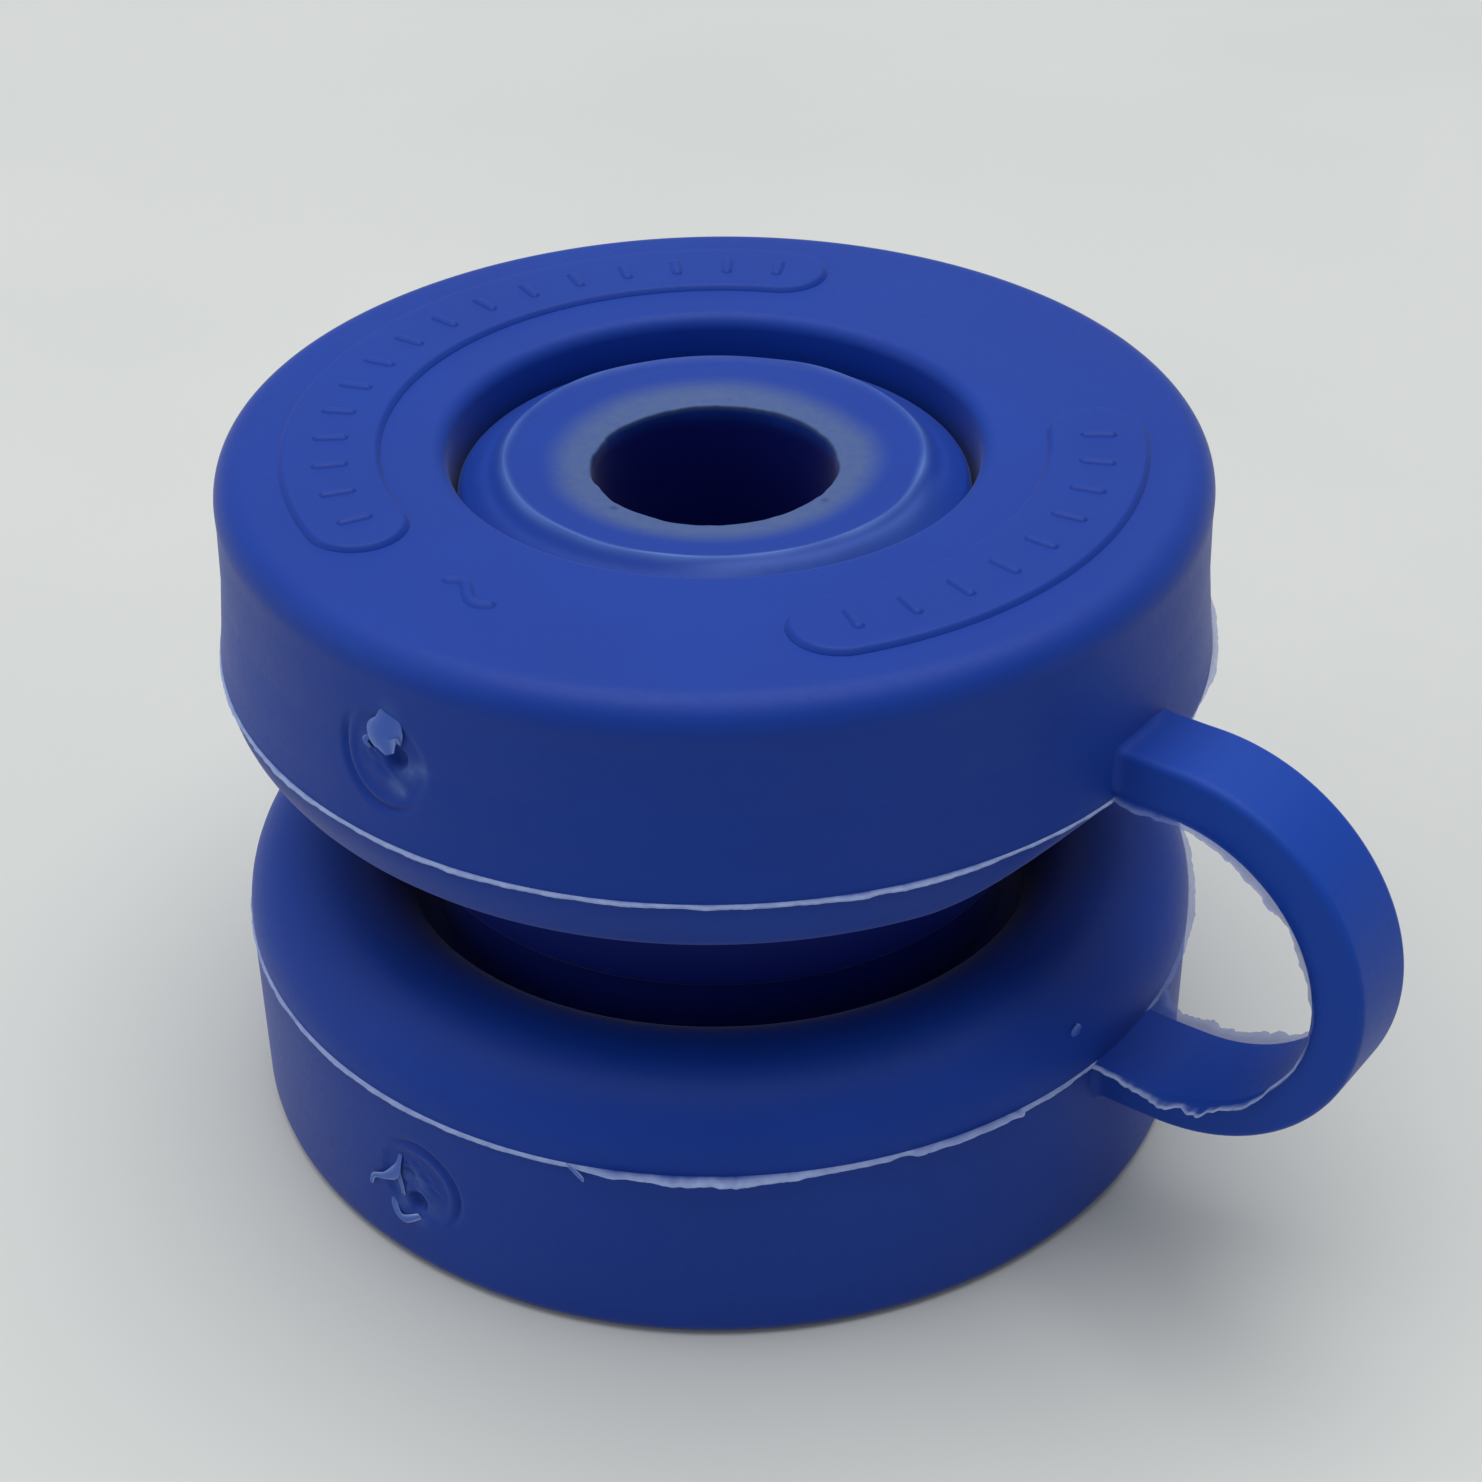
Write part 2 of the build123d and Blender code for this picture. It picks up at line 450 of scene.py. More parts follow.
def gate_relief(along, up, crease_bearing, pits):
    """How far the wall stands out at a place measured from a gate mark's middle.

    crease_bearing is the side where the round crease is deepest, in degrees anticlockwise from
    along. pits are (along, up, radius, depth).
    """
    distance = np.hypot(along, up)
    bearing = np.degrees(np.arctan2(up, along))
    near_crease = smooth_step(angle_between(bearing, crease_bearing), 105, 45)
    dimple = -0.10 * smooth_step(distance, GATE_RADIUS, GATE_RADIUS - 0.5)
    crease = -0.20 * near_crease * bump(distance, GATE_RADIUS, 0.17)
    lip = 0.09 * near_crease * bump(distance, GATE_RADIUS - 0.42, 0.2)
    torn = smooth_step(distance, 1.7, 0.9)
    rough = 0.09 * torn * wander(along * 3 + up * 5, 1.0, 21) * wander(up * 4 - along * 2, 1.0, 22)
    relief = dimple + crease + lip + rough
    for pit_along, pit_up, pit_radius, depth in pits:
        apart = np.hypot(along - pit_along, up - pit_up)
        relief -= depth * smooth_step(apart, pit_radius, pit_radius * 0.35)
    return relief


def gate_haze(points, gate_z, patches):
    """How cloudy each point is with the stress marks round a gate.

    patches are (along, up, reach, strength), measured from the gate's middle.
    """
    radius = np.hypot(points[:, 0], points[:, 1])
    angle = np.degrees(np.arctan2(points[:, 1], points[:, 0]))
    along = np.radians(angle - GATE_ANGLE) * radius
    up = points[:, 2] - gate_z
    mottle = 0.8 + 0.4 * wander(along * 5 + up * 3, 1.0, 11) * wander(up * 6 - along * 2, 1.0, 12)
    total = 0 * up
    for patch_along, patch_up, reach, strength in patches:
        apart = np.hypot(along - patch_along, up - patch_up)
        total += strength * mottle * np.exp(-(apart / reach) ** 2)
    return np.clip(total * (radius > FLASH_RADIUS - 2.0), 0, 1)


def disc_values(points, gate_z, patches):
    """A disc's per-point values: the haze round its gate, and painted shade deep in the waist."""
    haze = gate_haze(points, gate_z, patches)
    return {"whiten": 0.45 * haze, "pale": 0.55 * haze, "painted_shade_and_specks": painted_hollow_shade(points)}


def painted_hollow_shade(points):
    """Painted shade for points deep in the waist or the bore: 0 in the open, up to WAIST_SHADE
    in the waist and BORE_SHADE in the bore.
    """
    radius = np.hypot(points[:, 0], points[:, 1])
    between_discs = (points[:, 2] > LOWER_FLASH_Z - 0.2) * (points[:, 2] < UPPER_FLASH_Z + 0.2)
    off_post = radius > POST_RADIUS + 0.1
    waist = smooth_step(radius, 19.5, 16.0) * off_post * between_discs
    in_bore = smooth_step(radius, BORE_RADIUS + 0.2, BORE_RADIUS + 0.1)
    bore = in_bore * smooth_step(points[:, 2], BORE_EDGE_Z - 0.1, BORE_EDGE_Z - 1.2)
    return np.maximum(WAIST_SHADE * waist, BORE_SHADE * bore)


def disc_shape(gate_z, crease_bearing, pits, phase, fading_bead_z=None):
    """The soft unevenness of a moulded disc, and its gate mark. phase turns the unevenness.

    Under fading_bead_z, if it is given, the bead grows shallow towards the strap.
    """
    def shape(angle, radius, height):
        if fading_bead_z:
            fade = BEAD_FADE * smooth_step(angle_between(angle, 0), 30, -2)
            height = height + fade * np.maximum(fading_bead_z - height, 0)
        on_wall = (radius > FLASH_RADIUS - WALL_BAND).astype(float)
        along = np.radians(angle - GATE_ANGLE) * radius
        radius = radius + on_wall * gate_relief(along, height - gate_z, crease_bearing, pits)
        broad_swell = 0.035 * np.sin(np.radians(2 * angle + 40 * phase))
        small_swell = 0.02 * np.sin(np.radians(5 * angle + 70 * phase))
        swell = broad_swell + small_swell
        sink = 0.03 * np.sin(np.radians(3 * angle + 55 * phase))
        outer = smooth_step(radius, SOCKET_RADIUS + 1, FLASH_RADIUS)
        return radius + swell * outer, height + sink * outer * (height > 0.5)
    return shape


def disc_outline(hole_radius, flash_z, face_z, gate_z, face_edge, hole_edge):
    """A disc's outline, from its hole over the outer face to the flash line and the bead."""
    inward = 1 if flash_z > face_z else -1
    crest_z = flash_z + inward * BEAD_RADIUS
    gate_far = gate_z - inward * GATE_REACH
    gate_near = gate_z + inward * GATE_REACH
    corners = [
        (hole_radius, face_z, hole_edge),
        (wall_radius(face_z, flash_z, face_z), face_z, face_edge),
        (wall_radius(gate_far, flash_z, face_z), gate_far, 0),
        (wall_radius(gate_z, flash_z, face_z), gate_z, 0),
        (wall_radius(gate_near, flash_z, face_z), gate_near, 0),
        (FLASH_RADIUS, flash_z, 0),
        (FLASH_RADIUS, crest_z, BEAD_RADIUS),
        (BEAD_FOOT_RADIUS, crest_z, BEAD_RADIUS),
        (BEAD_FOOT_RADIUS, flash_z, 0),
        (hole_radius, flash_z, 0.15),
    ]

    def at_gate(place):
        return place[0] > FLASH_RADIUS - WALL_BAND and abs(place[1] - gate_z) < GATE_REACH
    return outline(corners, SECTION_STEP, GATE_STEP, at_gate)


lower_section = disc_outline(POST_RADIUS, LOWER_FLASH_Z, 0.0, LOWER_GATE_Z, 0.8, 0.12)
lower_pits = [(-0.24, -1.3, 0.75, 0.5), (-0.6, 0.4, 0.4, 0.25)]
lower_shape = disc_shape(LOWER_GATE_Z, 40, lower_pits, 1)
lower_mesh = turned(lower_section, fine_angles(), lower_shape)
lower_disc = piece("lower_disc_moulding", lower_mesh, BLUE, disc_values(lower_mesh[0], LOWER_GATE_Z, [
    (-0.85, 0.1, 0.32, 0.5), (-0.4, 0.55, 0.28, 0.6), (0.05, 0.2, 0.3, 0.5), (0.1, -0.4, 0.4, 0.35),
    (-1.1, -0.8, 0.4, 0.5), (-1.2, -1.7, 0.4, 0.45), (0.7, -1.3, 0.6, 0.25), (-0.1, -2.3, 0.4, 0.4),
]))
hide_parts("lower_disc")
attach(lower_disc, "post_half")

upper_section = disc_outline(SOCKET_RADIUS, UPPER_FLASH_Z, RING_TOP_Z, UPPER_GATE_Z, 1.6, 0.8)
upper_pits = [(0.6, 0.25, 0.75, 0.5), (-0.9, 0.5, 0.35, 0.2)]
upper_shape = disc_shape(UPPER_GATE_Z, -135, upper_pits, 2, UPPER_FLASH_Z)
upper_mesh = turned(upper_section, fine_angles(), upper_shape)
upper_ring = piece("upper_ring_moulding", upper_mesh, BLUE, disc_values(upper_mesh[0], UPPER_GATE_Z, [
    (0.5, -1.2, 0.4, 0.6), (0.9, -1.4, 0.25, 0.6), (1.3, -0.2, 0.45, 0.6), (2.0, 0.1, 0.35, 0.6),
    (-1.1, 0.5, 0.3, 0.5), (0.4, 2.6, 0.5, 0.2),
]))
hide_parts("upper_ring")
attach(upper_ring, "ring_half")


# ---------------------------------------------------------------- post, collar, sleeve and head

def turned_piece(name, section):
    """A piece turned from an outline, with painted shade where it lies deep."""
    mesh = turned(section, np.arange(0.0, 360.0, 1.5))
    return piece(name, mesh, BLUE, {"painted_shade_and_specks": painted_hollow_shade(mesh[0])})


post = turned_piece("centre_post_tube", outline([
    (BORE_RADIUS, 0.0, 0.3),
    (POST_RADIUS, 0.0, 0.12),
    (POST_RADIUS, HEAD_BOTTOM_Z, 0),
    (BORE_RADIUS, HEAD_BOTTOM_Z, 0),
], 1.0))
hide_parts("centre_post")
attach(post, "post_half")

collar = turned_piece("neck_collar_step", outline([
    (POST_RADIUS, LOWER_FLASH_Z, 0),
    (COLLAR_RADIUS + 0.15, LOWER_FLASH_Z, 0),
    (COLLAR_RADIUS, COLLAR_TOP_Z, 0.3),
    (POST_RADIUS, COLLAR_TOP_Z, 0.1),
], 0.6))
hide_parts("neck_collar")
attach(collar, "post_half")

sleeve = turned_piece("socket_sleeve_wall", outline([
    (SOCKET_RADIUS, COLLAR_TOP_Z, 0.25),
    (SLEEVE_RADIUS, COLLAR_TOP_Z, 0.35),
    (SLEEVE_RADIUS, UPPER_FLASH_Z, 0),
    (SOCKET_RADIUS, UPPER_FLASH_Z, 0),
], 0.6))
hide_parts("socket_sleeve")
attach(sleeve, "ring_half")

HEAD_STEP = 0.11
RIM_WAVER = 0.10
RIDGE_HEIGHT = 0.12
RIDGE_WIDTH = 0.22
DIP_DEPTH = 0.10
FOLD_HEIGHT = 0.16
BLOOM_WIDTH = 1.65
HEAD_SPECKS = ((-100.0, 6.5), (0.0, 6.55))


def rim_band(angle):
    """Where the rim is rolled over in a broad fold: 1 in its middle, 0 away from it."""
    return smooth_step(angle, -75.0, -35.0) * smooth_step(angle, 32.0, 8.0)


def wander_round(angle, step, seed):
    """A smooth random wave round the head, which fades out where its two ends meet at the back."""
    along = np.radians(angle) * HEAD_RIM_RADIUS
    return wander(along, step, seed) * smooth_step(np.abs(angle), 180, 168)


def rim_radius(angle):
    """Where the fine line of flash runs on the head."""
    return HEAD_RIM_RADIUS + RIM_WAVER * wander_round(angle, 4.0, 31)


def head_shape(angle, radius, height):
    """The head's unevenness: a rolled rim with a dip outside it, and a nibbled bore edge."""
    angle = (angle + 180) % 360 - 180
    rim = rim_radius(angle)
    on_top = (height > HEAD_SKIRT_TOP_Z - 0.3).astype(float)
    ridge_height = RIDGE_HEIGHT + 0.04 * wander_round(angle, 2.9, 37)
    ridge = ridge_height * bump(radius, rim, RIDGE_WIDTH)
    dip = DIP_DEPTH * bump(radius, rim + 0.75, 0.35) * (1 - rim_band(angle))
    fold = FOLD_HEIGHT * rim_band(angle) * bump(radius, rim + 0.65, 0.45)
    height = height + on_top * (ridge - dip + fold)
    at_bore = smooth_step(radius, BORE_RADIUS + 0.6, BORE_RADIUS)
    nibble = 0.07 * wander_round(angle, 2.6, 33) + 0.03 * wander_round(angle, 0.9, 34)
    upper = smooth_step(height, BORE_EDGE_Z - 1.0, BORE_EDGE_Z - 0.1)
    return radius + at_bore * upper * nibble, height


def head_values(points):
    """The head's chalky bloom round the bore, its pale rim line and fold, painted shade in the bore,
    and a few dark specks.
    """
    radius = np.hypot(points[:, 0], points[:, 1])
    angle = np.degrees(np.arctan2(points[:, 1], points[:, 0]))
    on_top = smooth_step(points[:, 2], BORE_EDGE_Z - 0.35, BORE_EDGE_Z - 0.1)
    rim = rim_radius(angle)
    edge = BORE_RADIUS + BLOOM_WIDTH + 0.15 * wander_round(angle, 3.0, 35)
    bloom = 0.95 * on_top * smooth_step(radius, edge + 1.0, edge - 0.9)
    clearest_side = 0.5 + 0.5 * np.cos(np.radians(angle + 60))
    line_strength = 0.2 + 0.35 * clearest_side + 0.2 * wander_round(angle, 2.3, 36)
    line = bump(radius, rim + 0.02, RIDGE_WIDTH) * line_strength
    fold_strength = 0.22 + 0.12 * wander_round(angle, 3.1, 38)
    fold = rim_band(angle) * fold_strength * bump(radius, rim + 0.6, 0.6)
    pale = np.maximum(line, fold) * (points[:, 2] > HEAD_SKIRT_TOP_Z)
    specks = 0 * radius
    for speck_angle, speck_radius in HEAD_SPECKS:
        apart = np.hypot(np.radians(angle - speck_angle) * speck_radius, radius - speck_radius)
        specks += 0.45 * on_top * smooth_step(apart, 0.3, 0.08)
    # The painted shade of the bore and the dark specks share one value.
    return {
        "whiten": np.clip(bloom, 0, 1),
        "pale": np.clip(pale, 0, 1),
        "painted_shade_and_specks": np.maximum(painted_hollow_shade(points), specks),
    }


head_section = outline([
    (BORE_RADIUS, HEAD_BOTTOM_Z, 0),
    (POST_RADIUS, HEAD_BOTTOM_Z, 0.1),
    (HEAD_RADIUS, HEAD_BOTTOM_Z + 0.7, 0.3),
    (HEAD_RADIUS, HEAD_SKIRT_TOP_Z, 0.7),
    (HEAD_RIM_RADIUS, HEAD_RIM_Z, 0.2),
    (BORE_RADIUS, BORE_EDGE_Z, 0.12),
], HEAD_STEP)
head_mesh = turned(head_section, np.arange(0.0, 360.0, 1.0), head_shape)
head = piece("snap_head_moulding", head_mesh, BLUE, head_values(head_mesh[0]))
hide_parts("snap_head")
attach(head, "post_half")


# ---------------------------------------------------------------- label pads and index mark

PAD_INNER_RADIUS = 16.0
PAD_MIDDLE = (PAD_INNER_RADIUS + PAD_OUTER_RADIUS) / 2
PAD_HALF_WIDTH = (PAD_OUTER_RADIUS - PAD_INNER_RADIUS) / 2
PAD_END_SWEEP = math.degrees(PAD_HALF_WIDTH / PAD_MIDDLE)
PAD_BASE_HEIGHT = 1.1 * PAD_HEIGHT
PAD_EDGE = 0.32
PAD_SINK = 0.12
RIB_HEIGHT = 0.15
RIB_HALF_WIDTH = 0.50
RIB_HALF_LENGTH = 0.60
RIB_EDGE = 0.9 * RIB_HALF_WIDTH
RIB_SPACING = 8.5
MARK_RADIUS = 18.1
MARK_WAVE = 0.55
MARK_HALF_WIDTH = 0.32
MARK_HEIGHT = 0.17
MARK_EDGE = 0.31


def raised_slot(middle_line, half_width, height, edge):
    """A low pad that follows a line in the plan view, with round ends.

    middle_line is a list of (x, y). The pad starts PAD_SINK below the ring's top face, and its
    top curves down over edge millimetres.
    """
    line = np.array(middle_line, float)
    ahead = np.gradient(line, axis=0)
    ahead /= np.linalg.norm(ahead, axis=1)[:, None]
    side = np.stack([-ahead[:, 1], ahead[:, 0]], -1)
    turns = np.radians(np.linspace(90, -90, 19))[1:-1]
    rings = []
    over_edge = edge * np.linspace(0, 1, 8)[1:]
    over_top = np.linspace(edge, half_width, 5)[1:]
    for number, inset in enumerate([0, 0, *over_edge, *over_top]):
        reach = half_width - inset
        far_cap = [line[-1] + reach * (math.cos(t) * ahead[-1] + math.sin(t) * side[-1]) for t in turns]
        near_cap = [line[0] - reach * (math.cos(t) * ahead[0] + math.sin(t) * side[0]) for t in turns]
        plan = np.vstack([line + reach * side, far_cap, (line - reach * side)[::-1], near_cap])
        rise = height * math.sin(math.pi / 2 * min(1, inset / edge))
        if number == 0:
            rise = -PAD_SINK
        rings.append(np.column_stack([plan, np.full(len(plan), RING_TOP_Z + rise)]))
    underside = np.column_stack([rings[-1][:, :2], rings[0][:, 2]])
    return grid(np.array([underside] + rings), False, True)


def arc_line(radius, start, end):
    """Points along an arc about the axis, from one angle to another, 1.5 degrees apart."""
    turns = np.radians(np.linspace(start, end, math.ceil((end - start) / 1.5) + 1))
    return np.column_stack([radius * np.cos(turns), radius * np.sin(turns)])


def radial_line(angle, inner, outer):
    """Points along a radius, from inner to outer."""
    turn = math.radians(angle)
    reach = np.linspace(inner, outer, 6)
    return np.column_stack([reach * math.cos(turn), reach * math.sin(turn)])


def label_pad(name, centre, half_angle, node_name):
    """A raised pad on the ring's top face, with a plain row of low moulded ribs."""
    reach = half_angle - PAD_END_SWEEP
    middle_line = arc_line(PAD_MIDDLE, centre - reach, centre + reach)
    shapes = [raised_slot(middle_line, PAD_HALF_WIDTH, PAD_BASE_HEIGHT, PAD_EDGE)]
    count = int(2 * reach / RIB_SPACING)
    for number in range(count + 1):
        angle = centre + (number - count / 2) * RIB_SPACING
        line = radial_line(angle, PAD_MIDDLE - RIB_HALF_LENGTH, PAD_MIDDLE + RIB_HALF_LENGTH)
        shapes.append(raised_slot(line, RIB_HALF_WIDTH, PAD_BASE_HEIGHT + RIB_HEIGHT, RIB_EDGE))
    made = piece(name, joined(shapes), BLUE)
    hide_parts(node_name)
    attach(made, "ring_half")


label_pad("strap_side_pad", 0.0, 43.5, "strap_side_label_pad")
label_pad("far_side_pad", 180.0, 72.0, "far_side_label_pad")

mark_turns = np.radians(np.linspace(-94.5, -85.5, 13))
mark_radii = MARK_RADIUS + MARK_WAVE * np.sin(np.radians(np.linspace(-150, 150, 13)))
mark_line = np.column_stack([mark_radii * np.cos(mark_turns), mark_radii * np.sin(mark_turns)])
mark_shape = raised_slot(mark_line, MARK_HALF_WIDTH, MARK_HEIGHT, MARK_EDGE)
mark = piece("index_mark_ridge", mark_shape, BLUE)
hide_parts("index_mark")
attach(mark, "ring_half")


# ---------------------------------------------------------------- strap loop

ROOT_FILLET = 0.5
OUTER_FACE_SHARE = 0.86
OUTER_EDGE_ROUNDING = 0.45
INNER_EDGE_ROUNDING = 0.03

# How far out of a disc's wall the rings at the end of the loop stand.
ROOT_DEPTHS = np.array([
    -0.9, -0.3, 0.0, 0.01, 0.03, 0.06, 0.1, 0.16, 0.23, 0.32, 0.45, 0.7, 1.0, 1.3, 1.6,
])


def disc_wall_at(z):
    """The radius of the nearer disc's wall at a height."""
    lower = wall_radius(z, LOWER_FLASH_Z, 0)
    upper = wall_radius(z, UPPER_FLASH_Z, RING_TOP_Z)
    return np.where(z < LOOP_CENTRE_Z, lower, upper)


def loop_path():
    """Stations along the loop's inner face as (x, z, outward x, outward z)."""
    run = np.arange(FLASH_RADIUS + ROOT_DEPTHS[-1] + 0.1, LOOP_CENTRE_X - 0.1, 0.2)
    lower = [(x, LOWER_FLASH_Z, 0, -1) for x in run]
    upper = [(x, UPPER_FLASH_Z, 0, 1) for x in run[::-1]]
    bend = []
    for turn in np.radians(np.linspace(-90, 90, 91)):
        out_x, out_z = math.cos(turn), math.sin(turn)
        x = LOOP_CENTRE_X + LOOP_INNER_RADIUS * out_x
        z = LOOP_CENTRE_Z + LOOP_INNER_RADIUS * out_z
        bend.append((x, z, out_x, out_z))
    return np.array(lower + bend + upper)


def along_path(path):
    """The distance of each station from the first one."""
    steps = np.hypot(*np.diff(path[:, :2], axis=0).T)
    return np.concatenate([[0], np.cumsum(steps)])


def outward_normals(section):
    """Unit normals of a closed convex outline, pointing out of it."""
    ahead = np.roll(section, -1, 0) - np.roll(section, 1, 0)
    normals = np.column_stack([ahead[:, 1], -ahead[:, 0]])
    normals /= np.linalg.norm(normals, axis=1)[:, None]
    outwards = ((section - section.mean(0)) * normals).sum(1)
    return normals * np.sign(outwards)[:, None]


def root_rings(section, inner_z, direction):
    """Rings of the loop's end beside a disc, which follow its wall and flare softly into it.

    section is (out, across) points. It flares least on its inner face and on its +Y side.
    """
    normals = outward_normals(section)
    off_inner_face = smooth_step(section[:, 0], 0.1, 0.7)
    on_far_side = smooth_step(section[:, 1], 0.5, 1.9)
    swells = off_inner_face * (1 - 0.75 * on_far_side)
    rings = []
    for depth in ROOT_DEPTHS:
        share = min(max(depth / ROOT_FILLET, 0), 1)
        flare = ROOT_FILLET * (1 - math.sqrt(1 - (1 - share) ** 2))
        out = section[:, 0] + flare * swells * normals[:, 0]
        across = section[:, 1] + flare * swells * normals[:, 1]
        z = inner_z + direction * out
        on_curve = np.sqrt((disc_wall_at(z) + depth) ** 2 - across ** 2)
        straight = smooth_step(depth, ROOT_FILLET, ROOT_DEPTHS[-1])
        x = on_curve + straight * (FLASH_RADIUS + depth - on_curve)
        rings.append(np.column_stack([x, across, z]))
    return np.array(rings)


def strap_shape():
    """The band of the loop, which grows softly out of the two discs."""
    outer_half_width = OUTER_FACE_SHARE * STRAP_HALF_WIDTH
    section = outline([
        (0.0, -STRAP_HALF_WIDTH, INNER_EDGE_ROUNDING),
        (0.0, STRAP_HALF_WIDTH, INNER_EDGE_ROUNDING),
        (STRAP_THICKNESS, outer_half_width, OUTER_EDGE_ROUNDING),
        (STRAP_THICKNESS, -outer_half_width, OUTER_EDGE_ROUNDING),
    ], 0.3)
    path = loop_path()
    x, z, out_x, out_z = (path[:, k, None] for k in range(4))
    off_root = smooth_step(path[:, 0], FLASH_RADIUS + 1.5, FLASH_RADIUS + 3)
    lean = 0.06 * wander(along_path(path), 9.0, 41) * off_root
    out = section[None, :, 0]
    across = section[None, :, 1] + lean[:, None]
    middle = np.stack([x + out * out_x, across + 0 * x, z + out * out_z], -1)
    lower = root_rings(section, LOWER_FLASH_Z, -1)
    upper = root_rings(section, UPPER_FLASH_Z, 1)[::-1]
    return grid(np.concatenate([lower, middle, upper]), False, True, capped=True)


def bend_with_loop(made):
    """Bakes the placement of a piece of the loop into its mesh; it is attached to neither half."""
    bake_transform(made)


strap_mesh = strap_shape()
# Painted light on the strap: none at its roots in the discs, full a few millimetres out.
strap_reach = np.hypot(strap_mesh[0][:, 0], strap_mesh[0][:, 1])
strap_painted_light = smooth_step(strap_reach, FLASH_RADIUS, FLASH_RADIUS + 4)
strap = piece("strap_loop", strap_mesh, BLUE, {"painted_light": strap_painted_light})
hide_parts("strap_lower_half", "strap_upper_half")
bend_with_loop(strap)


# ---------------------------------------------------------------- flash fins

# A fin's thickness at each share of its width. The first place is millimetres inside the plastic.
FIN_PROFILE = ((-0.3, 0.16), (0.0, 0.15), (0.4, 0.10), (0.75, 0.08), (0.93, 0.09), (1.0, 0.03))


def fin(root, direction, normal, width, curl, pale_reach):
    """A thin torn fin along a row of root points, and how pale it is at each point.

    Its tip is lifted by curl along normal, and it is pale over about pale_reach millimetres
    behind its tip.
    """
    upper, lower, pale = [], [], []
    for reach, thickness in FIN_PROFILE:
        out = np.full(len(width), reach) if reach <= 0 else width * reach
        lift = curl * max(reach, 0) ** 2
        middle = root + direction * out[:, None] + normal * lift[:, None]
        upper.append(middle + normal * thickness / 2)
        lower.append(middle - normal * thickness / 2)
        pale.append(smooth_step(width * (1 - max(reach, 0)), 1.4 * pale_reach, 0.3 * pale_reach))
    rows = np.array(upper + lower[::-1])
    values = np.array(pale + pale[::-1])
    return rows.transpose(1, 0, 2), values.T


def span(angle, start, end, soft):
    """1 between two angles, with soft shoulders."""
    return smooth_step(angle, start - soft, start + soft) * smooth_step(angle, end + soft, end - soft)


def disc_fin(name, flash_z, faint, spans, seed, body, droop, pale_reach):
    """The flash left round a disc: a fine line that is wider over the given spans.

    Between the two angles in faint the line is hardly there. spans are (first angle, last angle,
    extra width, softness of the ends in degrees). droop bends the tip down.
    """
    angle = np.arange(-180.0, 180.0, 0.2)
    turn = np.radians(angle)
    along = turn * FLASH_RADIUS
    outward = np.column_stack([np.cos(turn), np.sin(turn), 0 * turn])
    upward = np.tile((0.0, 0.0, 1.0), (len(turn), 1))
    seam = smooth_step(np.abs(angle), 180, 172)
    width = 0.045 + 0.07 * ragged(along, seed) + 0.07 * ragged(along * 2.5, seed + 6)
    width = width * (1 - 0.7 * span(angle, *faint, 8.0))
    rough = 0.5 + 0.4 * ragged(along, seed + 7) + 0.25 * ragged(along * 3.0, seed + 8)
    for start, end, extra, soft in spans:
        width = width + span(angle, start, end, soft) * extra * rough
    beside_strap = smooth_step(np.abs(angle), 4.5, 7.0)
    width = width * beside_strap
    wave = 0.08 * wander(along, 2.7, seed + 3) + 0.03 * wander(along, 0.9, seed + 4)
    curl = seam * wave * width / 0.3 + droop * width
    root = outward * FLASH_RADIUS + upward * flash_z
    rows, values = fin(root, outward, upward, width, curl, pale_reach)
    clear = span(angle, 6, 112, 6.0)[:, None] * np.ones_like(values)
    made = piece(name, grid(rows, True, True), FLASH, {
        "thin": values * (1 - 0.5 * clear),
        "clear": 0.9 * clear,
    })
    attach(made, body)


disc_fin("upper_disc_flash", UPPER_FLASH_Z, (-200, -130), [
    (-41, -23, 0.10, 2.0), (-19, -13, 0.05, 1.0), (18, 75, 0.22, 3.0), (110, 150, 0.15, 3.0),
], 51, "ring_half", -0.4, 0.2)
disc_fin("lower_disc_flash", LOWER_FLASH_Z, (-160, -138), [
    (-125, -73, 0.04, 2.0), (-68.5, -34, 0.17, 1.2), (-66, -48, 0.28, 6.0),
    (-32, -18, 0.32, 0.6), (-18.5, -10, 0.10, 0.5), (12, 100, 0.30, 14.0), (120, 165, 0.2, 3.0),
], 61, "post_half", -0.15, 0.45)


def strap_fin(name, side, widths, pale_reach, clear_from, seed):
    """The flash along one edge of the loop's inner face, on the side of that sign of Y.

    widths are (share of the way, width). From clear_from of the way on it is see-through.
    """
    ends = FLASH_RADIUS - 0.5
    path = np.vstack([(ends, LOWER_FLASH_Z, 0, -1), loop_path(), (ends, UPPER_FLASH_Z, 0, 1)])
    distance = along_path(path)
    fine = np.arange(0, distance[-1], 0.08)
    x, z, out_x, out_z = (np.interp(fine, distance, path[:, k]) for k in range(4))
    width = np.interp(fine / fine[-1], [share for share, _ in widths], [wide for _, wide in widths])
    width = width * (0.3 + 0.75 * ragged(fine, seed) + 0.4 * ragged(fine * 2.5, seed + 5))
    root = np.column_stack([x, np.full(len(fine), side * STRAP_HALF_WIDTH), z])
    outward = np.column_stack([out_x, 0 * fine, out_z])
    sideways = np.tile((0.0, float(side), 0.0), (len(fine), 1))
    curl = 0.16 * wander(fine, 1.9, seed + 3) + 0.07 * wander(fine, 0.6, seed + 4)
    curl = curl * np.minimum(1, width / 0.4)
    rows, values = fin(root + outward * 0.085, sideways, outward, width, curl, pale_reach)
    values = np.concatenate([values.ravel(), [0, 0]])
    share = np.repeat(fine / fine[-1], rows.shape[1])
    clear = np.concatenate([smooth_step(share, clear_from, clear_from + 0.08), [0, 0]])
    made = piece(name, grid(rows, False, True, capped=True), FLASH, {
        "thin": values * (1 - 0.55 * clear),
        "clear": 0.8 * clear,
    })
    bend_with_loop(made)


